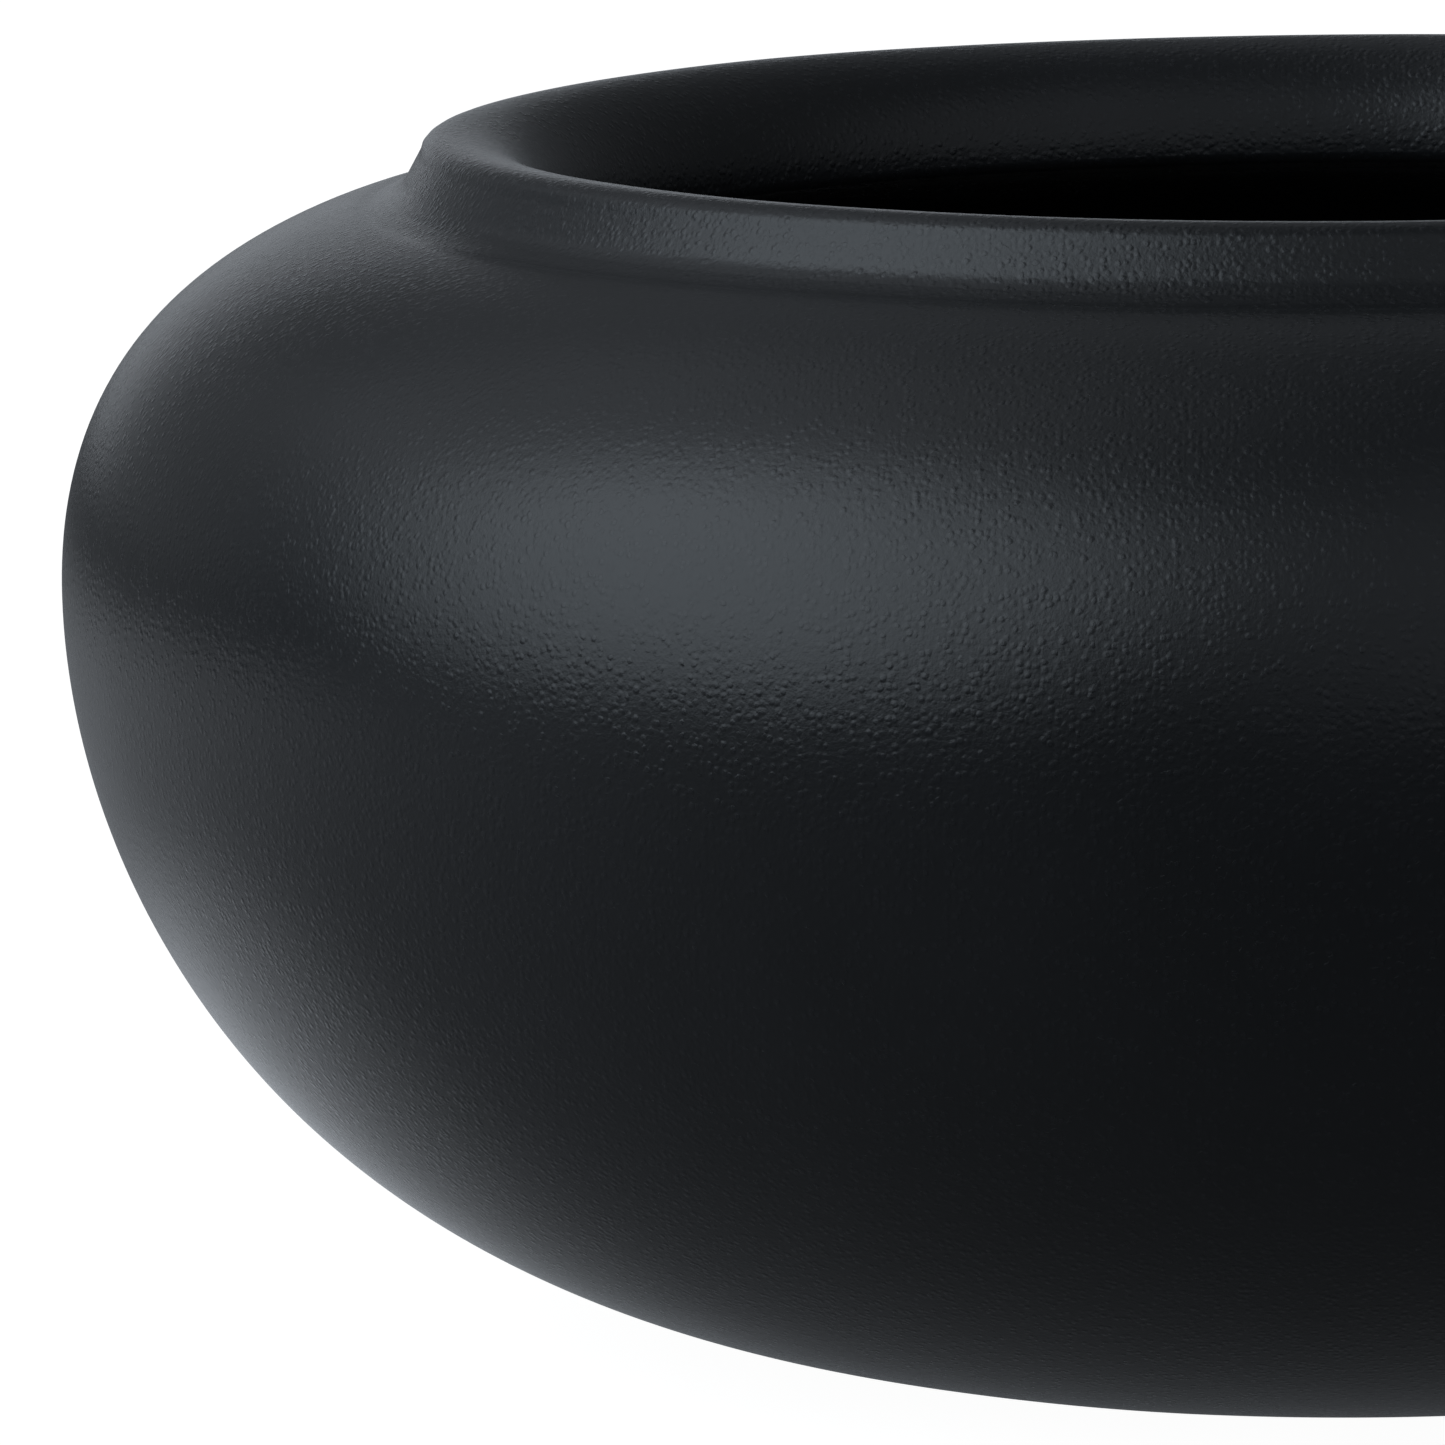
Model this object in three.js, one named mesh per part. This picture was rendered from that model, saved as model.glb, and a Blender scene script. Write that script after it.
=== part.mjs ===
// A low, wide-mouthed pot of black clay, hand built from coils on a flat slab.
//
// The potter lays a round floor slab, raises the wall on its edge as five coil courses, and closes
// the mouth with a collar coil and a rolled lip coil. Each coil is pressed over the crowned edge
// of the one before and luted with slip, so each joint is a crown on one piece and the same curve
// as a groove in the next. Millimetres, +Z up, origin at the centre of the resting face.

import * as THREE from "three";

// Driving dimensions.
const bellyRadius = 120;
const bellyHeight = 69.3;
const restRadius = 58;
const neckRadius = 88.1;
const neckHeight = 105.3;
const potHeight = 111.3;
const wallThickness = 8;

// Wall shape: how far each stretch of the wall keeps to its end tangents.
const footRun = 45;
const footAngle = THREE.MathUtils.degToRad(11);
const bellyRunBelow = 25.7;
const bellyRunAbove = 31.4;
const shoulderRun = 1.5;
const shoulderAngle = THREE.MathUtils.degToRad(17.5);

// Mouth shape: the collar stands on the shoulder, and the lip rolls from its top into the mouth.
const collarLean = 2.3;
const lipBandHeight = 4.2;
const lipOuterRound = 2.6;
const mouthRadius = 72.3;
const mouthRollDepth = 10.6;
const throatCornerRound = 1.2;
const lipJointHeight = 1.6;

// Coil joints, and how finely the curves are drawn.
const crownControl = 3;
const courseNames = [
  "foot_course",
  "lower_wall_course",
  "lower_belly_course",
  "upper_belly_course",
  "shoulder_course",
];
const stepsPerCourse = 4;
const stepsPerJoint = 2;
const stepsPerRound = 5;
const turnSegments = 64;

const blackClay = { color: 0x1e2022, roughness: 0.4, metalness: 0 };
const rawClay = { color: 0x242425, roughness: 0.62, metalness: 0 };

const at = (radius, height) => new THREE.Vector2(radius, height);

// The outside of the wall from the resting face to the foot of the collar, by length along it.
function makeWall() {
  const foot = at(restRadius, 0);
  const belly = at(bellyRadius, bellyHeight);
  const neck = at(neckRadius, neckHeight);
  const wall = new THREE.CurvePath();
  wall.add(
    new THREE.CubicBezierCurve(
      foot,
      at(restRadius + footRun * Math.cos(footAngle), footRun * Math.sin(footAngle)),
      at(bellyRadius, bellyHeight - bellyRunBelow),
      belly,
    ),
  );
  wall.add(
    new THREE.CubicBezierCurve(
      belly,
      at(bellyRadius, bellyHeight + bellyRunAbove),
      at(
        neckRadius + shoulderRun * Math.cos(shoulderAngle),
        neckHeight - shoulderRun * Math.sin(shoulderAngle),
      ),
      neck,
    ),
  );
  return wall;
}

const wall = makeWall();

// The point of the wall's inside that faces the outside point at share u of the wall's length.
function insidePoint(u) {
  const outside = wall.getPoint(u);
  const along = wall.getTangent(u);
  return at(outside.x - wallThickness * along.y, outside.y + wallThickness * along.x);
}

// A joint's section from one end to the other, crowned along the given direction.
function crownedFace(start, end, crown) {
  const middle = start.clone().add(end).multiplyScalar(0.5).addScaledVector(crown, crownControl);
  return new THREE.QuadraticBezierCurve(start, middle, end).getPoints(stepsPerJoint);
}

// The joint across the wall at share u, from the outside to the inside.
function wallJoint(u) {
  return crownedFace(wall.getPoint(u), insidePoint(u), wall.getTangent(u));
}

// The points of a stretch of the wall between two shares of its length, by a function of the share.
function wallStretch(pointAt, from, to) {
  return Array.from({ length: stepsPerCourse + 1 }, (_, i) =>
    pointAt(THREE.MathUtils.lerp(from, to, i / stepsPerCourse)),
  );
}

// A quarter of an ellipse about a centre, from one angle to the next, in degrees.
function quarterRound(centre, across, up, fromDegrees, toDegrees) {
  const turn = new THREE.EllipseCurve(
    centre.x,
    centre.y,
    across,
    up,
    THREE.MathUtils.degToRad(fromDegrees),
    THREE.MathUtils.degToRad(toDegrees),
    toDegrees < fromDegrees,
  );
  return turn.getPoints(stepsPerRound);
}

// Joins stretches of a section into one outline, leaving out the points that repeat.
function joinOutline(...stretches) {
  const outline = [];
  for (const point of stretches.flat()) {
    const last = outline.at(-1);
    if (!last || last.distanceTo(point) > 1e-6) outline.push(point);
  }
  return outline;
}

// A clay piece turned from its section, which runs anticlockwise seen with the axis on the left.
function turnedPiece(name, outline, finish) {
  const geometry = new THREE.LatheGeometry(outline, turnSegments);
  geometry.rotateX(Math.PI / 2);
  const piece = new THREE.Mesh(geometry, new THREE.MeshStandardMaterial(finish));
  piece.name = name;
  return piece;
}

// The floor: a flat slab whose edge is the first crowned joint.
function makeFloorSlab() {
  const edge = wallJoint(0);
  const top = edge.at(-1).y;
  return turnedPiece("floor_slab", joinOutline([at(0, 0)], edge, [at(0, top)]), rawClay);
}

// One coil course of the wall, between the joints at two shares of the wall's length.
function makeCourse(name, from, to) {
  const outside = wallStretch((u) => wall.getPoint(u), from, to);
  const inside = wallStretch(insidePoint, to, from);
  const outline = joinOutline(outside, wallJoint(to), inside, wallJoint(from).reverse());
  return turnedPiece(name, outline, blackClay);
}

// The places that the collar coil and the lip coil share.
const shoulderJoint = wallJoint(1);
const crestRadius = neckRadius - collarLean - lipOuterRound;
const lipBandFoot = at(neckRadius - collarLean, neckHeight + lipBandHeight);
const mouthWaist = at(mouthRadius, potHeight - mouthRollDepth);
const lipJoint = crownedFace(
  at(neckRadius - collarLean * (lipJointHeight / lipBandHeight), neckHeight + lipJointHeight),
  mouthWaist,
  at(0, 1),
);

// The collar coil: a leaning band on the shoulder's edge, and a shelf that narrows the throat to
// the mouth's width.
function makeCollarCoil() {
  const throatCorner = quarterRound(
    at(mouthRadius + throatCornerRound, mouthWaist.y),
    throatCornerRound,
    throatCornerRound,
    180,
    270,
  );
  return turnedPiece(
    "collar_coil",
    joinOutline(lipJoint, throatCorner, [...shoulderJoint].reverse(), [lipJoint[0]]),
    blackClay,
  );
}

// The lip coil: a tight round on the outer edge, a crest, and a broad roll down into the mouth.
function makeLipCoil() {
  const outerRound = quarterRound(
    at(crestRadius, lipBandFoot.y),
    lipOuterRound,
    potHeight - lipBandFoot.y,
    0,
    90,
  );
  const mouthRoll = quarterRound(
    at(crestRadius, mouthWaist.y),
    crestRadius - mouthRadius,
    mouthRollDepth,
    90,
    180,
  );
  return turnedPiece(
    "lip_coil",
    joinOutline([lipJoint[0]], outerRound, mouthRoll, [...lipJoint].reverse()),
    blackClay,
  );
}

const pot = new THREE.Group();
pot.add(makeFloorSlab());
courseNames.forEach((name, i) =>
  pot.add(makeCourse(name, i / courseNames.length, (i + 1) / courseNames.length)),
);
pot.add(makeCollarCoil(), makeLipCoil());

export default pot;
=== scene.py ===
"""A low, wide-mouthed pot of black clay, hand-built from coils on a flat slab.

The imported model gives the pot's frame. Each of its clay pieces is turned here again as a fine
mesh, from the same driving dimensions, and dressed in unglazed black clay: a sandy body fired in
smoke, scraped on the wall, wiped on the lip and left raw underneath.
"""

import logging
import math
from dataclasses import dataclass
from enum import Enum

import bpy
import numpy as np
from mathutils import Matrix, Vector


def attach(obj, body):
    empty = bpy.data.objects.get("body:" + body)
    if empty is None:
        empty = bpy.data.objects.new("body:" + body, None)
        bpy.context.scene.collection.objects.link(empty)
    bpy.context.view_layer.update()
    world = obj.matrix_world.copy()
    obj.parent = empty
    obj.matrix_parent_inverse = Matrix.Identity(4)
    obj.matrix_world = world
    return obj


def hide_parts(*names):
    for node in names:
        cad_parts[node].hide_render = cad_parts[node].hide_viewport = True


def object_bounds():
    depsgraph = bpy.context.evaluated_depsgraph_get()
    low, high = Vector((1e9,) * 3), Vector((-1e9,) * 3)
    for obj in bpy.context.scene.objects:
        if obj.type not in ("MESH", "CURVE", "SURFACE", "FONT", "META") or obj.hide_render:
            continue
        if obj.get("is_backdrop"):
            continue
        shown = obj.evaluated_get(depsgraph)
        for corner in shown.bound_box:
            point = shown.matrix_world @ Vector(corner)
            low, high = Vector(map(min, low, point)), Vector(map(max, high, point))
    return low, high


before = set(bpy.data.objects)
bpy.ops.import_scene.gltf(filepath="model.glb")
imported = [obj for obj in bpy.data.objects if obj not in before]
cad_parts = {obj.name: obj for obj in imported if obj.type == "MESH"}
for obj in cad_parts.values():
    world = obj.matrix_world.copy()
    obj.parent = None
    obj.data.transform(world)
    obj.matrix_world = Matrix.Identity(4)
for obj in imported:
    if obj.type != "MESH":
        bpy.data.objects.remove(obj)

log = logging.getLogger("black_clay_pot")

MM = 0.001
FULL_TURN = 2 * math.pi
MERGE_DISTANCE = 0.002 * MM
ROUND_POINTS = 49
JOINT_STEPS = 6
CREASE_STEPS = 8
COURSE_POINTS = 401
Points = np.ndarray  # rows of (distance from the axis, height), in metres
Socket = bpy.types.NodeSocket


# ---------------------------------------------------------------------------------------------
# The pot's form
# ---------------------------------------------------------------------------------------------


@dataclass(frozen=True)
class PotForm:
    """The pot's driving dimensions, in metres and degrees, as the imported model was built.

    The wall's outside is two curves that meet at the belly, and each keeps to its end tangents
    for the run given here.
    """

    belly_radius: float
    pot_height: float
    belly_height: float = 69.3 * MM
    rest_radius: float = 58 * MM
    neck_radius: float = 88.1 * MM
    neck_height: float = 105.3 * MM
    wall_thickness: float = 8 * MM
    foot_run: float = 45 * MM
    foot_angle: float = 11
    belly_run_below: float = 25.7 * MM
    belly_run_above: float = 31.4 * MM
    shoulder_run: float = 1.5 * MM
    shoulder_angle: float = 17.5
    collar_lean: float = 2.3 * MM
    lip_band_height: float = 4.2 * MM
    lip_outer_round: float = 2.6 * MM
    mouth_radius: float = 72.3 * MM
    mouth_roll_depth: float = 10.6 * MM
    throat_round: float = 1.2 * MM
    lip_joint_height: float = 1.6 * MM
    crown_control: float = 3 * MM
    crease_below: float = 3 * MM
    crease_above: float = 1.4 * MM
    course_count: int = 5

    @classmethod
    def from_frame(cls, unevenness: float) -> "PotForm":
        """Reads the sizes that the frame's own box gives.

        Args:
            unevenness: How far the hand-made surface may wander outwards.

        Returns:
            The form, drawn in by the unevenness so that the surface stays inside the frame.
        """
        low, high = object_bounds()
        return cls(belly_radius=(high.x - low.x) / 2 - unevenness, pot_height=high.z - unevenness)


def bezier(controls: list[tuple[float, float]], steps: int) -> Points:
    """Draws a Bezier curve.

    Args:
        controls: Its control points, from end to end.
        steps: The number of steps along it.

    Returns:
        The points along the curve.
    """
    t = np.linspace(0, 1, steps + 1)[:, None]
    degree = len(controls) - 1
    weights = [math.comb(degree, k) * t**k * (1 - t) ** (degree - k) for k in range(degree + 1)]
    return sum(weight * np.array(point) for weight, point in zip(weights, controls))


def quarter_round(centre: tuple[float, float], across: float, up: float, start: float) -> Points:
    """Draws a quarter of an ellipse, anticlockwise.

    Args:
        centre: The ellipse's centre.
        across: Its half width.
        up: Its half height.
        start: The angle where the quarter starts, in degrees.

    Returns:
        The points along the quarter.
    """
    angle = np.radians(np.linspace(start, start + 90, ROUND_POINTS))
    return np.array(centre) + np.stack([across * np.cos(angle), up * np.sin(angle)], axis=1)


def lengths_along(line: Points) -> np.ndarray:
    """The length from a line's start to each of its points."""
    return np.concatenate([[0], np.cumsum(np.linalg.norm(np.diff(line, axis=0), axis=1))])


def spaced(line: Points, step: float, hold: float = 0.1 * MM) -> Points:
    """Spaces points evenly along a line, with one more close to each end.

    The close points hold the surface's shading steady up to a joint between two pieces.

    Args:
        line: The line to follow.
        step: The spacing to come near to.
        hold: How far the close points are from the ends.

    Returns:
        The points, the line's two ends included.
    """
    length = lengths_along(line)
    total = length[-1]
    inner = np.linspace(0, total, max(2, round(total / step)) + 1)[1:-1]
    places = np.concatenate([[0, hold], inner, [total - hold, total]])
    return np.stack([np.interp(places, length, line[:, i]) for i in range(2)], axis=1)


class Wall:
    """The wall's outside and inside, by the share of the outside's length from foot to neck."""

    SAMPLES = 2000
    FINGER_RIDGES = 10.5
    FINGER_DEPTH = 0.28 * MM
    FINGER_DRIFT = 1.7
    FINGER_DRIFT_TURNS = 9

    def __init__(self, form: PotForm) -> None:
        """Draws the wall's outside.

        Args:
            form: The pot's driving dimensions.
        """
        foot = math.radians(form.foot_angle)
        shoulder = math.radians(form.shoulder_angle)
        belly = (form.belly_radius, form.belly_height)
        lower = bezier(
            [
                (form.rest_radius, 0),
                (
                    form.rest_radius + form.foot_run * math.cos(foot),
                    form.foot_run * math.sin(foot),
                ),
                (form.belly_radius, form.belly_height - form.belly_run_below),
                belly,
            ],
            self.SAMPLES,
        )
        upper = bezier(
            [
                belly,
                (form.belly_radius, form.belly_height + form.belly_run_above),
                (
                    form.neck_radius + form.shoulder_run * math.cos(shoulder),
                    form.neck_height - form.shoulder_run * math.sin(shoulder),
                ),
                (form.neck_radius, form.neck_height),
            ],
            self.SAMPLES,
        )
        self.form = form
        self.line = np.vstack([lower, upper[1:]])
        length = lengths_along(self.line)
        self.length = length[-1]
        self.shares = length / self.length
        slope = np.gradient(self.line, axis=0)
        self.along = slope / np.linalg.norm(slope, axis=1)[:, None]

    def _read(self, values: Points, shares: np.ndarray) -> Points:
        """Reads values kept along the wall at the given shares of its length."""
        return np.stack([np.interp(shares, self.shares, values[:, i]) for i in range(2)], axis=-1)

    def outside(self, shares: np.ndarray) -> Points:
        """The points of the outside at the given shares."""
        return self._read(self.line, shares)

    def tangent(self, shares: np.ndarray) -> Points:
        """The wall's direction, upwards along the section, at the given shares."""
        return self._read(self.along, shares)

    def inside(self, shares: np.ndarray) -> Points:
        """The points of the inside that face the given shares of the outside.

        Args:
            shares: Shares of the outside's length.

        Returns:
            The inside's points, with the low ridges that the potter's fingers leave there.
        """
        drift = self.FINGER_DRIFT * np.sin(self.FINGER_DRIFT_TURNS * shares)
        turn = FULL_TURN * self.FINGER_RIDGES * shares + drift
        ridges = self.FINGER_DEPTH * np.sin(turn) * np.sin(np.pi * shares)
        along = self.tangent(shares)
        inwards = np.stack([-along[..., 1], along[..., 0]], axis=-1)
        return self.outside(shares) + inwards * (self.form.wall_thickness + ridges)[..., None]


def crowned_joint(start: Points, end: Points, crown: Points) -> Points:
    """Draws a luted joint's section.

    Args:
        start: The joint's outer end.
        end: Its inner end.
        crown: How far, and which way, the crown's control point stands off the straight line.

    Returns:
        The points across the joint.
    """
    middle = (start + end) / 2 + crown
    return bezier([tuple(start), tuple(middle), tuple(end)], JOINT_STEPS)


def closed_outline(*stretches: Points) -> Points:
    """Joins stretches into one outline that ends where it starts, without repeated points."""
    points = np.vstack(stretches)
    apart = np.linalg.norm(np.diff(points, axis=0), axis=1) > MERGE_DISTANCE
    points = points[np.concatenate([[True], apart])]
    if np.linalg.norm(points[-1] - points[0]) > MERGE_DISTANCE:
        points = np.vstack([points, points[:1]])
    return points


# ---------------------------------------------------------------------------------------------
# Modelling
# ---------------------------------------------------------------------------------------------


class Bench:
    """The potter's wheel and hands: turns a section into a piece and finishes its mesh."""

    SEGMENTS = 384
    POINT_SIZE = 1 * MM
    WAVE_LENGTH = 55 * MM
    SHARP_EDGE = math.radians(50)
    FLAT_BELOW = 0.2 * MM
    WAVE_GAIN = 2.6

    def __init__(self, unevenness: float) -> None:
        """Makes the slow random wave that gives every piece the same hand-made unevenness.

        Args:
            unevenness: How far the surface wanders, in metres.
        """
        self.unevenness = unevenness
        self.wave = bpy.data.textures.new("hand_wave", "CLOUDS")
        self.wave.cloud_type = "COLOR"
        self.wave.noise_scale = self.WAVE_LENGTH
        self.wave.noise_depth = 1

    def turn(self, name: str, outline: Points) -> bpy.types.Object:
        """Draws a section point by point and spins it a full turn about the pot's axis.

        Args:
            name: The finished piece's name.
            outline: The section, closed on itself or with both ends on the axis.

        Returns:
            The turned piece.
        """
        bpy.ops.object.select_all(action="DESELECT")
        first = (outline[0][0], 0, outline[0][1])
        bpy.ops.mesh.primitive_plane_add(size=self.POINT_SIZE, location=(0, 0, 0))
        piece = bpy.context.object
        piece.name = name
        piece.data.name = name
        bpy.ops.object.mode_set(mode="EDIT")
        bpy.ops.mesh.select_all(action="SELECT")
        bpy.ops.mesh.merge(type="CENTER")
        bpy.ops.transform.translate(value=first)
        for across, up in np.diff(outline, axis=0):
            bpy.ops.mesh.extrude_vertices_move(TRANSFORM_OT_translate={"value": (across, 0, up)})
        bpy.ops.mesh.select_all(action="SELECT")
        bpy.ops.mesh.remove_doubles(threshold=MERGE_DISTANCE)
        bpy.ops.mesh.spin(
            steps=self.SEGMENTS, angle=FULL_TURN, center=(0, 0, 0), axis=(0, 0, 1)
        )
        bpy.ops.mesh.select_all(action="SELECT")
        bpy.ops.mesh.remove_doubles(threshold=MERGE_DISTANCE)
        bpy.ops.mesh.normals_make_consistent(inside=False)
        bpy.ops.mesh.select_all(action="DESELECT")
        bpy.ops.object.mode_set(mode="OBJECT")
        return piece

    def work_by_hand(self, piece: bpy.types.Object) -> None:
        """Gives a piece the slight unevenness of hand work.

        Neighbouring pieces share the wave, so they still meet along their joints.

        Args:
            piece: The turned piece.
        """
        bpy.ops.object.select_all(action="DESELECT")
        piece.select_set(True)
        bpy.context.view_layer.objects.active = piece
        push = piece.modifiers.new("hand_wave", "DISPLACE")
        push.texture = self.wave
        push.texture_coords = "LOCAL"
        push.direction = "RGB_TO_XYZ"
        push.mid_level = 0.5
        push.strength = self.WAVE_GAIN * self.unevenness
        bpy.ops.object.modifier_apply(modifier=push.name)

    def set_down(self, piece: bpy.types.Object) -> None:
        """Presses the lowest skin of a piece flat on the board it stands on.

        Args:
            piece: A piece that reaches the resting face.
        """
        for vertex in piece.data.vertices:
            vertex.select = vertex.co.z < self.FLAT_BELOW
        bpy.ops.object.mode_set(mode="EDIT")
        bpy.ops.transform.resize(value=(1, 1, 0), center_override=(0, 0, 0))
        bpy.ops.object.mode_set(mode="OBJECT")

    def smooth(self, piece: bpy.types.Object) -> None:
        """Shades a piece smooth, with its joints' edges left sharp."""
        bpy.ops.object.shade_smooth_by_angle(angle=self.SHARP_EDGE)
        log.debug("%s shaded", piece.name)


# ---------------------------------------------------------------------------------------------
# Shader parts
# ---------------------------------------------------------------------------------------------


class NodeTray:
    """Adds and wires the nodes of one material or node group."""

    def __init__(self, tree: bpy.types.NodeTree) -> None:
        """Takes the tree to work in."""
        self.tree = tree

    def add(self, kind: str, **settings: object) -> bpy.types.Node:
        """Adds a node.

        Args:
            kind: The node's type name.
            settings: Values for the node's own options.

        Returns:
            The new node.
        """
        node = self.tree.nodes.new(kind)
        for key, value in settings.items():
            setattr(node, key, value)
        return node

    def feed(self, node: bpy.types.Node, **inputs: object) -> bpy.types.Node:
        """Feeds a node's inputs, named with underscores for spaces.

        Args:
            node: The node.
            inputs: For each input, a socket to wire to it or a constant.

        Returns:
            The same node.
        """
        for key, value in inputs.items():
            socket = node.inputs[key.replace("_", " ")]
            if isinstance(value, Socket):
                self.tree.links.new(value, socket)
            else:
                socket.default_value = value
        return node

    def math(self, operation: str, *values: object) -> Socket:
        """Works out one value from others.

        Args:
            operation: The Math node's operation.
            values: Sockets or constants.

        Returns:
            The result.
        """
        node = self.add("ShaderNodeMath", operation=operation)
        for i, value in enumerate(values):
            if isinstance(value, Socket):
                self.tree.links.new(value, node.inputs[i])
            else:
                node.inputs[i].default_value = value
        return node.outputs[0]

    def spread(self, value: object, low: float, high: float, to: tuple[float, float]) -> Socket:
        """Stretches a value's range smoothly over a new one.

        Args:
            value: The value to stretch.
            low: The value that becomes the first end of the new range.
            high: The value that becomes its other end.
            to: The new range.

        Returns:
            The stretched value.
        """
        node = self.add("ShaderNodeMapRange", interpolation_type="SMOOTHSTEP")
        self.feed(node, Value=value, From_Min=low, From_Max=high, To_Min=to[0], To_Max=to[1])
        return node.outputs["Result"]

    def noise(self, vector: Socket, scale: object, detail: float, roughness: float) -> Socket:
        """Adds a noise pattern and returns its value."""
        node = self.add("ShaderNodeTexNoise")
        self.feed(node, Vector=vector, Scale=scale, Detail=detail, Roughness=roughness)
        return node.outputs["Fac"]

    def mix(self, share: Socket, first: bpy.types.Node, second: bpy.types.Node) -> bpy.types.Node:
        """Mixes two shaders.

        Args:
            share: How much of the second shader shows.
            first: The first shader's node.
            second: The second shader's node.

        Returns:
            The mixing node.
        """
        node = self.add("ShaderNodeMixShader")
        self.tree.links.new(share, node.inputs[0])
        self.tree.links.new(first.outputs[0], node.inputs[1])
        self.tree.links.new(second.outputs[0], node.inputs[2])
        return node

    def blend(self, share: object, first: object, second: object) -> Socket:
        """Mixes two colours.

        Args:
            share: How much of the second colour shows.
            first: The first colour.
            second: The second colour.

        Returns:
            The mixed colour.
        """
        node = self.add("ShaderNodeMix", data_type="RGBA")
        sockets = (node.inputs[0], node.inputs[6], node.inputs[7])
        for socket, value in zip(sockets, (share, first, second)):
            if isinstance(value, Socket):
                self.tree.links.new(value, socket)
            else:
                socket.default_value = value
        return node.outputs[2]


class ClayGroup:
    """A shader node group with named inputs and outputs, built once for all the clays."""

    NAME = ""
    INPUTS: dict[str, float] = {}
    OUTPUTS: tuple[str, ...] = ()

    def __init__(self) -> None:
        """Builds the group."""
        self.tree = bpy.data.node_groups.new(self.NAME, "ShaderNodeTree")
        face = self.tree.interface
        face.new_socket("Vector", in_out="INPUT", socket_type="NodeSocketVector")
        for name, value in self.INPUTS.items():
            socket = face.new_socket(name, in_out="INPUT", socket_type="NodeSocketFloat")
            socket.default_value = value
        for name in self.OUTPUTS:
            face.new_socket(name, in_out="OUTPUT", socket_type="NodeSocketFloat")
        tray = NodeTray(self.tree)
        entry = tray.add("NodeGroupInput")
        leave = tray.add("NodeGroupOutput")
        for name, socket in self.lay_out(tray, entry.outputs).items():
            self.tree.links.new(socket, leave.inputs[name])

    def lay_out(self, tray: NodeTray, given: dict[str, Socket]) -> dict[str, Socket]:
        """Lays out the group's nodes.

        Args:
            tray: The group's tray.
            given: The group's inputs by name.

        Returns:
            The socket for each of the group's outputs.
        """
        raise NotImplementedError

    def place(self, tray: NodeTray, **inputs: object) -> dict[str, Socket]:
        """Places the group in a material.

        Args:
            tray: The material's tray.
            inputs: The group's inputs, named with underscores for spaces.

        Returns:
            The group's outputs by name.
        """
        node = tray.add("ShaderNodeGroup")
        node.node_tree = self.tree
        tray.feed(node, **inputs)
        return node.outputs


class SandGrain(ClayGroup):
    """Sand grains that stand in the clay, over a finer tooth."""

    NAME = "sand_grain"
    INPUTS = {"Grain Size": 0.6 * MM, "Standing Share": 0.5}
    OUTPUTS = ("Height", "Grit")

    def lay_out(self, tray: NodeTray, given: dict[str, Socket]) -> dict[str, Socket]:
        """Lays out rounded grains of random height, a fine tooth and the mask of high grains.

        Args:
            tray: The group's tray.
            given: The group's inputs by name.

        Returns:
            The height, from 0 to 1, and the mask of the grains that stand highest.
        """
        per_metre = tray.math("DIVIDE", 1.0, given["Grain Size"])
        grains = tray.add("ShaderNodeTexVoronoi", feature="SMOOTH_F1")
        tray.feed(grains, Vector=given["Vector"], Scale=per_metre, Smoothness=0.35)
        dome = tray.spread(grains.outputs["Distance"], 0.15, 0.75, (1, 0))
        lift = tray.add("ShaderNodeSeparateColor")
        tray.feed(lift, Color=grains.outputs["Color"])
        least = tray.math("SUBTRACT", 1.0, given["Standing Share"])
        standing = tray.math("GREATER_THAN", lift.outputs["Red"], least)
        rise = tray.math("MULTIPLY_ADD", lift.outputs["Green"], 0.6, 0.4)
        grain = tray.math("MULTIPLY", tray.math("MULTIPLY", dome, rise), standing)
        tooth = tray.noise(given["Vector"], tray.math("MULTIPLY", per_metre, 1.6), 3, 0.6)
        height = tray.math("MULTIPLY_ADD", grain, 0.55, tray.math("MULTIPLY", tooth, 0.45))
        return {"Height": height, "Grit": tray.spread(grain, 0.45, 0.9, (0, 1))}


class FiringCloud(ClayGroup):
    """The slow clouding that smoke leaves on the clay in the kiln."""

    NAME = "firing_cloud"
    INPUTS = {"Cloud Size": 45 * MM}
    OUTPUTS = ("Cloud", "Bloom")

    def lay_out(self, tray: NodeTray, given: dict[str, Socket]) -> dict[str, Socket]:
        """Lays out broad clouds and a finer, paler bloom.

        Args:
            tray: The group's tray.
            given: The group's inputs by name.

        Returns:
            The broad clouds and the bloom, each from 0 to 1.
        """
        per_metre = tray.math("DIVIDE", 1.0, given["Cloud Size"])
        broad = tray.noise(given["Vector"], per_metre, 2, 0.5)
        fine = tray.noise(given["Vector"], tray.math("MULTIPLY", per_metre, 9.0), 5, 0.65)
        return {
            "Cloud": tray.spread(broad, 0.3, 0.7, (0, 1)),
            "Bloom": tray.spread(fine, 0.45, 0.75, (0, 1)),
        }


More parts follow.
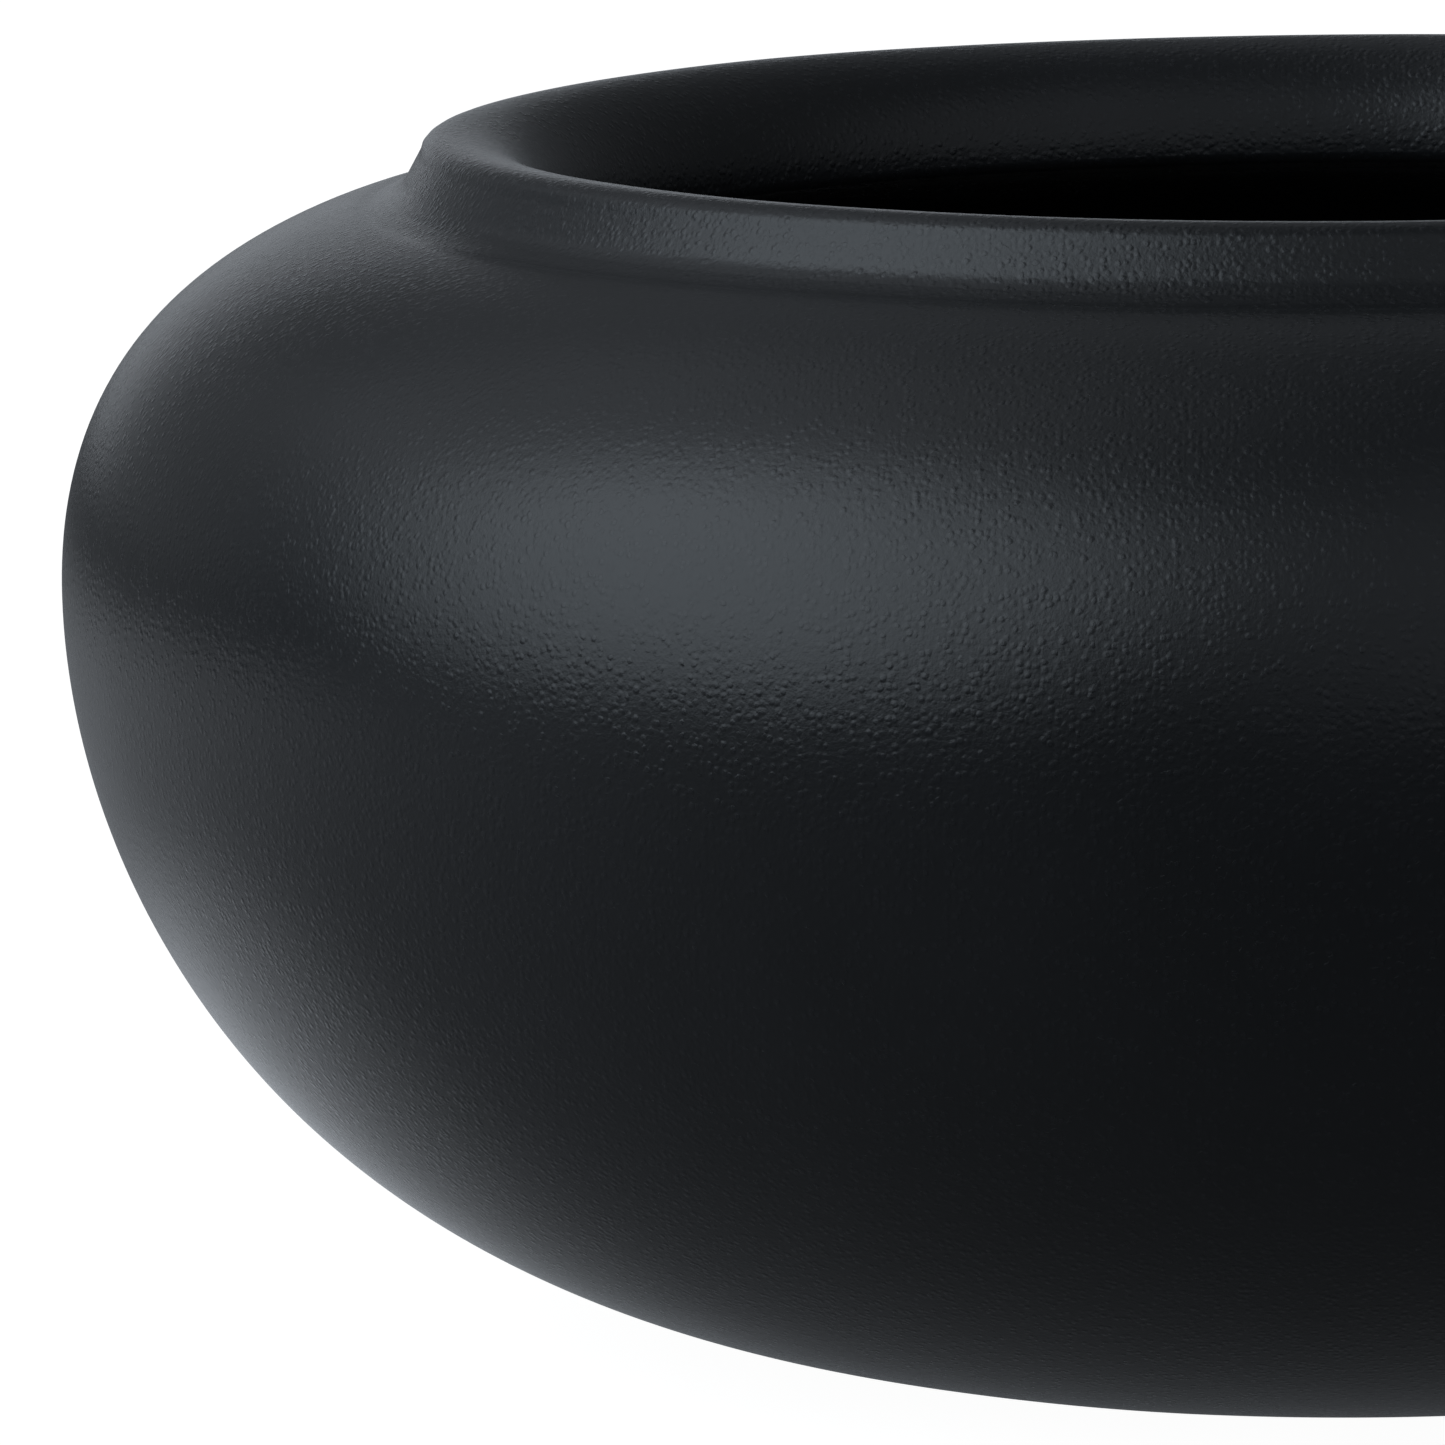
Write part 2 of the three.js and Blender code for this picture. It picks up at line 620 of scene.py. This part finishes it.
class WipeMarks(ClayGroup):
    """Fine lines that a scraper or a wet leather leaves as it goes round the pot."""

    NAME = "wipe_marks"
    INPUTS = {"Line Spacing": 0.9 * MM}
    OUTPUTS = ("Height",)

    def lay_out(self, tray: NodeTray, given: dict[str, Socket]) -> dict[str, Socket]:
        """Lays out noise that is drawn out long round the pot's axis.

        Args:
            tray: The group's tray.
            given: The group's inputs by name.

        Returns:
            The height of the lines, from 0 to 1.
        """
        place = tray.add("ShaderNodeSeparateXYZ")
        tray.feed(place, Vector=given["Vector"])
        level = tray.add("ShaderNodeCombineXYZ")
        tray.feed(level, X=place.outputs["X"], Y=place.outputs["Y"])
        out = tray.add("ShaderNodeVectorMath", operation="LENGTH")
        tray.feed(out, Vector=level.outputs["Vector"])
        per_metre = tray.math("DIVIDE", 1.0, given["Line Spacing"])
        lined = tray.add("ShaderNodeCombineXYZ")
        tray.feed(
            lined,
            X=tray.math("MULTIPLY", out.outputs["Value"], per_metre),
            Y=tray.math("MULTIPLY", place.outputs["Z"], per_metre),
            Z=tray.math("MULTIPLY", place.outputs["X"], 25.0),
        )
        return {"Height": tray.noise(lined.outputs["Vector"], 1.0, 3, 0.55)}


@dataclass(frozen=True)
class ClayTools:
    """The effects that the clays share."""

    grain: SandGrain
    cloud: FiringCloud
    wipe: WipeMarks


@dataclass(frozen=True)
class ClayFinish:
    """One finish of the black clay: its colours, tooth, shine and marks."""

    name: str
    slot: str
    dark: tuple[float, float, float]
    light: tuple[float, float, float]
    roughness: float
    roughness_swing: float
    grain_size: float
    grain_height: float
    standing_share: float
    wipe_height: float
    sheen: float
    sheen_roughness: float

    BLOOM_SHARE = 0.25
    GRIT_SHARE = 0.35
    GRIT_PALER = 1.6
    GRIT_SMOOTHER = -0.05

    def make(self, tools: ClayTools) -> bpy.types.Material:
        """Makes the finish's material.

        Args:
            tools: The effects that the clays share.

        Returns:
            The material.
        """
        material = bpy.data.materials.new(self.name)
        material.use_nodes = True
        tray = NodeTray(material.node_tree)
        shader = tray.tree.nodes["Principled BSDF"]
        where = tray.add("ShaderNodeTexCoord").outputs["Object"]
        grain = tools.grain.place(
            tray, Vector=where, Grain_Size=self.grain_size, Standing_Share=self.standing_share
        )
        cloud = tools.cloud.place(tray, Vector=where)
        wipe = tools.wipe.place(tray, Vector=where)

        share = tray.math("MULTIPLY", cloud["Bloom"], self.BLOOM_SHARE)
        share = tray.math("MULTIPLY_ADD", cloud["Cloud"], 1 - self.BLOOM_SHARE, share)
        colour = tray.blend(share, (*self.dark, 1), (*self.light, 1))
        grit_colour = tuple(self.GRIT_PALER * channel for channel in self.light)
        grit = tray.math("MULTIPLY", grain["Grit"], self.GRIT_SHARE)
        colour = tray.blend(grit, colour, (*grit_colour, 1))
        smooth = tray.math("MULTIPLY", cloud["Cloud"], -self.roughness_swing)
        rough = tray.math("ADD", smooth, self.roughness + self.roughness_swing / 2)
        rough = tray.math("MULTIPLY_ADD", grain["Grit"], self.GRIT_SMOOTHER, rough)
        tray.feed(shader, Base_Color=colour, Roughness=rough)
        shader.inputs["Sheen Weight"].default_value = self.sheen
        shader.inputs["Sheen Roughness"].default_value = self.sheen_roughness

        sand = tray.add("ShaderNodeBump")
        tray.feed(sand, Strength=1.0, Distance=self.grain_height, Height=grain["Height"])
        lines = tray.add("ShaderNodeBump")
        tray.feed(
            lines,
            Strength=1.0,
            Distance=self.wipe_height,
            Height=wipe["Height"],
            Normal=sand.outputs["Normal"],
        )
        tray.feed(shader, Normal=lines.outputs["Normal"])
        return material


class Clay(Enum):
    """The three finishes of the black clay."""

    RAW = ClayFinish(
        name="board_side_clay",
        slot="raw_black_clay",
        dark=(0.014, 0.014, 0.015),
        light=(0.024, 0.024, 0.026),
        roughness=0.62,
        roughness_swing=0.08,
        grain_size=0.8 * MM,
        grain_height=0.09 * MM,
        standing_share=0.6,
        wipe_height=0.02 * MM,
        sheen=0.03,
        sheen_roughness=0.4,
    )
    SCRAPED = ClayFinish(
        name="scraped_wall_clay",
        slot="scraped_black_clay",
        dark=(0.009, 0.010, 0.011),
        light=(0.014, 0.015, 0.017),
        roughness=0.27,
        roughness_swing=0.03,
        grain_size=0.6 * MM,
        grain_height=0.065 * MM,
        standing_share=0.6,
        wipe_height=0.006 * MM,
        sheen=0.2,
        sheen_roughness=0.2,
    )
    WIPED = ClayFinish(
        name="wiped_lip_clay",
        slot="wiped_black_clay",
        dark=(0.009, 0.010, 0.011),
        light=(0.015, 0.016, 0.018),
        roughness=0.28,
        roughness_swing=0.03,
        grain_size=0.6 * MM,
        grain_height=0.085 * MM,
        standing_share=0.65,
        wipe_height=0.008 * MM,
        sheen=0.15,
        sheen_roughness=0.2,
    )


class ClayStore:
    """Makes each finish's material once and dresses pieces in them."""

    def __init__(self) -> None:
        """Builds the shared effects and the materials."""
        tools = ClayTools(SandGrain(), FiringCloud(), WipeMarks())
        self.materials = {clay: clay.value.make(tools) for clay in Clay}

    def dress(self, piece: bpy.types.Object, clay: Clay) -> None:
        """Puts a finish on a piece."""
        piece.data.materials.clear()
        piece.data.materials.append(self.materials[clay])


# ---------------------------------------------------------------------------------------------
# The pot's pieces
# ---------------------------------------------------------------------------------------------


@dataclass
class FloorSlab:
    """The round slab that the pot stands on, with the first crowned joint on its edge."""

    wall: Wall
    row_step: float = 1.6 * MM
    node: str = "floor_slab"
    clay: Clay = Clay.RAW

    def outline(self) -> Points:
        """The slab's section, from the middle of its underside to the middle of its top."""
        joint = wall_joint(self.wall, 0)
        under = spaced(np.array([(0, 0), joint[0]]), self.row_step)
        top = spaced(np.array([joint[-1], (0, joint[-1][1])]), self.row_step)
        return np.vstack([under, joint[1:-1], top])


@dataclass
class WallCourse:
    """One coil course of the wall, between the joints at two shares of the wall's length."""

    wall: Wall
    number: int
    node: str
    crease: Points | None = None
    row_step: float = 1.15 * MM
    clay: Clay = Clay.SCRAPED

    def outline(self) -> Points:
        """The course's section: up the outside, across the joint, down the inside and back."""
        count = self.wall.form.course_count
        low, high = (self.number - 1) / count, self.number / count
        steps = np.linspace(low, high, COURSE_POINTS)
        outside = self.wall.outside(steps)
        top = wall_joint(self.wall, high)
        if self.crease is not None:
            outside = finish_at(outside, self.crease)
            top = crowned_joint(self.crease[-1], top[-1], crown_of(self.wall, high))
        inside = self.wall.inside(steps[::-1])
        bottom = wall_joint(self.wall, low)[::-1]
        return closed_outline(
            spaced(outside, self.row_step), top, spaced(inside, self.row_step), bottom
        )


def crown_of(wall: Wall, share: float) -> Points:
    """The crown of the joint across the wall at a share of its length."""
    return wall.tangent(np.array(share)) * wall.form.crown_control


def wall_joint(wall: Wall, share: float) -> Points:
    """The joint across the wall at a share of its length, from the outside to the inside."""
    at = np.array(share)
    return crowned_joint(wall.outside(at), wall.inside(at), crown_of(wall, share))


def finish_at(line: Points, ending: Points) -> Points:
    """Cuts a line where an ending starts, by radius, and goes on along the ending."""
    kept = line[line[:, 0] > ending[0][0] + MERGE_DISTANCE]
    return np.vstack([kept, ending])


class Mouth:
    """The section of the mouth: the crease, the collar's band, the lip and the throat."""

    def __init__(self, wall: Wall) -> None:
        """Draws the stretches that the shoulder, the collar and the lip share.

        Args:
            wall: The wall that the mouth stands on.
        """
        form = wall.form
        corner = np.array((form.neck_radius, form.neck_height))
        band_top = corner + (-form.collar_lean, form.lip_band_height)
        crest = band_top[0] - form.lip_outer_round
        waist = (form.mouth_radius, form.pot_height - form.mouth_roll_depth)
        up_band = (band_top - corner) / np.linalg.norm(band_top - corner)
        below = corner - wall.tangent(np.array(1.0)) * form.crease_below
        above = corner + up_band * form.crease_above
        fillet = bezier([tuple(below), tuple(corner), tuple(above)], CREASE_STEPS)
        middle = len(fillet) // 2

        self.shoulder_end = fillet[: middle + 1]
        self.collar_start = fillet[middle:]
        joint_share = form.lip_joint_height / form.lip_band_height
        lip_foot = corner + (band_top - corner) * joint_share
        self.collar_band = np.vstack([self.collar_start, [lip_foot]])
        self.lip_joint = crowned_joint(
            lip_foot, np.array(waist), np.array((0, form.crown_control))
        )
        outer_round = quarter_round(
            (crest, band_top[1]), form.lip_outer_round, form.pot_height - band_top[1], 0
        )
        roll = quarter_round(
            (crest, waist[1]), crest - form.mouth_radius, form.mouth_roll_depth, 90
        )
        self.lip = np.vstack([[lip_foot], outer_round, roll[1:]])
        shoulder_inside = wall.inside(np.array(1.0))
        self.shoulder_joint = crowned_joint(
            self.shoulder_end[-1], shoulder_inside, crown_of(wall, 1)
        )
        turn = form.throat_round
        corner_round = quarter_round((form.mouth_radius + turn, waist[1]), turn, turn, 180)
        self.throat = np.vstack([corner_round, [shoulder_inside]])


@dataclass
class CollarCoil:
    """The coil on the shoulder's edge: a short band outside and the throat inside."""

    mouth: Mouth
    row_step: float = 0.6 * MM
    node: str = "collar_coil"
    clay: Clay = Clay.WIPED

    def outline(self) -> Points:
        """The coil's section: up the band, across under the lip, down the throat and back."""
        mouth = self.mouth
        return closed_outline(
            spaced(mouth.collar_band, self.row_step),
            mouth.lip_joint,
            spaced(mouth.throat, self.row_step),
            mouth.shoulder_joint[::-1],
        )


@dataclass
class LipCoil:
    """The last coil: a tight round outside, a crest, and a broad roll down into the mouth."""

    mouth: Mouth
    row_step: float = 0.6 * MM
    node: str = "lip_coil"
    clay: Clay = Clay.WIPED

    def outline(self) -> Points:
        """The coil's section: over the lip from outside to inside, and back under it."""
        return closed_outline(spaced(self.mouth.lip, self.row_step), self.mouth.lip_joint[::-1])


class Pot:
    """The whole pot: every clay piece, turned, worked by hand, dressed and placed."""

    UNEVENNESS = 0.12 * MM
    COURSES = (
        "foot_course",
        "lower_wall_course",
        "lower_belly_course",
        "upper_belly_course",
        "shoulder_course",
    )

    def __init__(self) -> None:
        """Draws every piece's section from the frame."""
        wall = Wall(PotForm.from_frame(self.UNEVENNESS))
        mouth = Mouth(wall)
        self.sections = [FloorSlab(wall)]
        for number, node in enumerate(self.COURSES, start=1):
            crease = mouth.shoulder_end if node == self.COURSES[-1] else None
            self.sections.append(WallCourse(wall, number, node, crease))
        self.sections += [CollarCoil(mouth), LipCoil(mouth)]

    def build(self, store: ClayStore) -> None:
        """Makes the pieces and puts each in its CAD node's place.

        Args:
            store: The clay finishes.
        """
        bench = Bench(self.UNEVENNESS)
        for section in self.sections:
            piece = bench.turn(f"finished_{section.node}", section.outline())
            bench.work_by_hand(piece)
            bench.set_down(piece)
            bench.smooth(piece)
            store.dress(piece, section.clay)
            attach(piece, "root")
            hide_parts(section.node)
            log.info("%s: %d faces in %s", piece.name, len(piece.data.polygons), section.clay.name)


# ---------------------------------------------------------------------------------------------
# The studio
# ---------------------------------------------------------------------------------------------


@dataclass(frozen=True)
class Camera:
    """A long lens on a stand, looking a little down at the pot's left half."""

    distance: float = 1200 * MM
    height: float = 236.5 * MM
    turned_left: float = 0.04855
    tipped_down: float = 0.15015
    rolled: float = -0.01071
    lens: float = 321.68
    sensor: float = 36.0

    def build(self) -> None:
        """Makes the camera and gives it to the scene."""
        data = bpy.data.cameras.new("camera")
        data.lens = self.lens
        data.sensor_width = self.sensor
        data.clip_end = 100
        camera = bpy.data.objects.new("camera", data)
        bpy.context.scene.collection.objects.link(camera)
        level = math.cos(self.tipped_down)
        ahead = Vector(
            (
                -math.sin(self.turned_left) * level,
                math.cos(self.turned_left) * level,
                -math.sin(self.tipped_down),
            )
        )
        flat_right = Vector((math.cos(self.turned_left), math.sin(self.turned_left), 0))
        flat_up = flat_right.cross(ahead)
        right = flat_right * math.cos(self.rolled) + flat_up * math.sin(self.rolled)
        up = flat_up * math.cos(self.rolled) - flat_right * math.sin(self.rolled)
        turned = Matrix((right, up, -ahead)).transposed().to_4x4()
        camera.matrix_world = Matrix.Translation((0, -self.distance, self.height)) @ turned
        bpy.context.scene.camera = camera


@dataclass(frozen=True)
class Glow:
    """A soft light: a glowing part of the room that fades out from its middle.

    The bearing is 0 on the camera's side and grows towards the pot's left.
    """

    bearing: float
    rise: float
    reach: float
    strength: float
    tint: tuple[float, float, float] = (1.0, 1.0, 1.0)

    def build(self, tray: NodeTray, direction: Socket) -> bpy.types.Node:
        """Paints the glow.

        Args:
            tray: The room's tray.
            direction: The direction that light comes from.

        Returns:
            The shader's node.
        """
        around, up = math.radians(self.bearing), math.radians(self.rise)
        middle = (-math.sin(around) * math.cos(up), -math.cos(around) * math.cos(up), math.sin(up))
        nearness = tray.add("ShaderNodeVectorMath", operation="DOT_PRODUCT")
        tray.tree.links.new(direction, nearness.inputs[0])
        nearness.inputs[1].default_value = middle
        edge = math.cos(math.radians(self.reach))
        fade = tray.spread(nearness.outputs["Value"], edge, 1.0, (0, self.strength))
        return tray.feed(tray.add("ShaderNodeBackground"), Color=(*self.tint, 1), Strength=fade)


@dataclass(frozen=True)
class Pool:
    """A pool of light on the floor that fades out from its centre."""

    centre: tuple[float, float]
    reach: float
    strength: float

    def build(self, tray: NodeTray, place: Socket) -> Socket:
        """Works out the pool's light.

        Args:
            tray: The floor's tray.
            place: The place on the floor.

        Returns:
            The strength of the light there.
        """
        away = tray.add("ShaderNodeVectorMath", operation="DISTANCE")
        tray.tree.links.new(place, away.inputs[0])
        away.inputs[1].default_value = (*self.centre, 0)
        return tray.spread(away.outputs["Value"], 0.0, self.reach, (self.strength, 0))


class Studio:
    """A plain pale floor in a pale room, with a few broad soft lights in it."""

    FLOOR_RADIUS = 4.0
    FLOOR_TO_EYE = 0.97
    FLOOR_COLOUR = (0.2, 0.2, 0.2, 1)
    FLOOR_GLOW = 0.05
    POOLS = (
        Pool(centre=(-0.10, 0.06), reach=0.13, strength=0.6),
        Pool(centre=(-0.45, 0.16), reach=0.66, strength=0.34),
    )
    AMBIENT = 0.075
    COOL = (0.94, 1.0, 1.08)
    BLUER = (0.89, 1.0, 1.1)
    GLOWS = (
        Glow(bearing=61, rise=28.5, reach=46, strength=1.6, tint=BLUER),
        Glow(bearing=107, rise=53, reach=37, strength=0.4, tint=COOL),
        Glow(bearing=322, rise=28, reach=59, strength=0.2, tint=COOL),
        Glow(bearing=168, rise=2, reach=20, strength=0.5, tint=COOL),
        Glow(bearing=130, rise=14, reach=30, strength=0.12, tint=COOL),
        Glow(bearing=165, rise=42, reach=22, strength=0.1, tint=COOL),
    )

    def build(self) -> None:
        """Lays the floor and paints the room."""
        self.lay_floor()
        self.paint_room()
        bpy.context.scene.view_settings.view_transform = "Standard"

    def lay_floor(self) -> None:
        """Lays a round floor under the pot, pale to the eye and open to a view from below."""
        bpy.ops.object.select_all(action="DESELECT")
        bpy.ops.mesh.primitive_circle_add(
            vertices=96, radius=self.FLOOR_RADIUS, fill_type="NGON", location=(0, 0, 0)
        )
        floor = bpy.context.object
        floor.name = "floor"
        material = bpy.data.materials.new("pale_floor")
        material.use_nodes = True
        tray = NodeTray(material.node_tree)
        tray.tree.nodes.remove(tray.tree.nodes["Principled BSDF"])
        pale = tray.feed(tray.add("ShaderNodeEmission"), Strength=self.FLOOR_TO_EYE)
        shaded = tray.feed(tray.add("ShaderNodeBsdfDiffuse"), Color=self.FLOOR_COLOUR)
        eye = tray.add("ShaderNodeAddShader")
        tray.tree.links.new(pale.outputs[0], eye.inputs[0])
        tray.tree.links.new(shaded.outputs[0], eye.inputs[1])
        place = tray.add("ShaderNodeTexCoord").outputs["Object"]
        light = self.FLOOR_GLOW
        for pool in self.POOLS:
            light = tray.math("ADD", pool.build(tray, place), light)
        lit = tray.feed(tray.add("ShaderNodeEmission"), Color=(*self.COOL, 1), Strength=light)
        seen = tray.mix(tray.add("ShaderNodeLightPath").outputs["Is Camera Ray"], lit, eye)
        below = tray.add("ShaderNodeNewGeometry").outputs["Backfacing"]
        surface = tray.mix(below, seen, tray.add("ShaderNodeBsdfTransparent"))
        output = tray.tree.nodes["Material Output"]
        tray.tree.links.new(surface.outputs[0], output.inputs["Surface"])
        floor.data.materials.append(material)
        floor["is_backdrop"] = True

    def paint_room(self) -> None:
        """Makes the room white to the eye, and lit by its glows."""
        world = bpy.data.worlds.new("pale_room")
        bpy.context.scene.world = world
        world.use_nodes = True
        tray = NodeTray(world.node_tree)
        direction = tray.add("ShaderNodeTexCoord").outputs["Generated"]
        room = tray.feed(tray.tree.nodes["Background"], Color=(*self.COOL, 1), Strength=self.AMBIENT)
        for glow in self.GLOWS:
            both = tray.add("ShaderNodeAddShader")
            tray.tree.links.new(room.outputs[0], both.inputs[0])
            tray.tree.links.new(glow.build(tray, direction).outputs[0], both.inputs[1])
            room = both
        white = tray.feed(tray.add("ShaderNodeBackground"), Color=(1, 1, 1, 1), Strength=1.0)
        seen = tray.mix(tray.add("ShaderNodeLightPath").outputs["Is Camera Ray"], room, white)
        output = tray.tree.nodes["World Output"]
        tray.tree.links.new(seen.outputs[0], output.inputs["Surface"])


def main() -> None:
    """Builds the camera, the pot and the studio."""
    logging.basicConfig(level=logging.INFO, format="%(message)s")
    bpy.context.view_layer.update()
    Camera().build()
    Pot().build(ClayStore())
    Studio().build()


if __name__ == "__main__":
    main()
